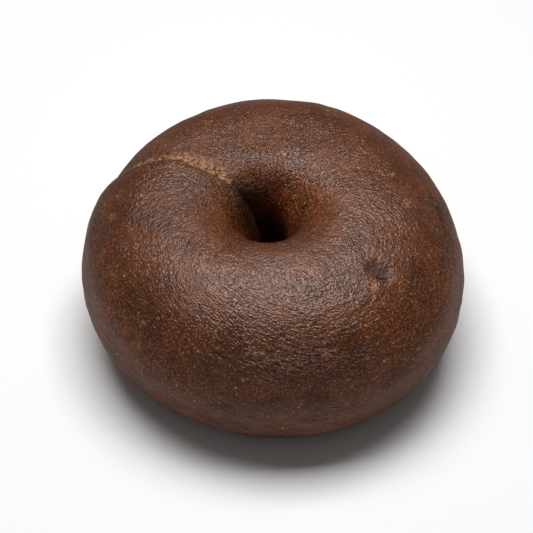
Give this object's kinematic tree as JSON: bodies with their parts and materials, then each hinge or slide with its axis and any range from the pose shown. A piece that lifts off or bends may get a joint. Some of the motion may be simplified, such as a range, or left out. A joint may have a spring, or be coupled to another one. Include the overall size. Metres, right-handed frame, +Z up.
{
  "type": "bagel",
  "caption": "Dark rye bagel: a thick ring of dough with a narrow funnel-shaped hole and a lapped join, resting on its flat base.",
  "frame": {"origin": "on the table, under the middle of the outline", "axes": "+Z up through the hole, the shortest way through the ring; -Y is the front, and the join is at the left and back"},
  "size_m": [0.1082, 0.1084, 0.0521],
  "materials": {
    "crust": "dark brown baked crust, satin, finely wrinkled, with small tan bran flecks"
  },
  "bodies": {
    "root": {"bagel": "crust"}
  },
  "joints": []
}
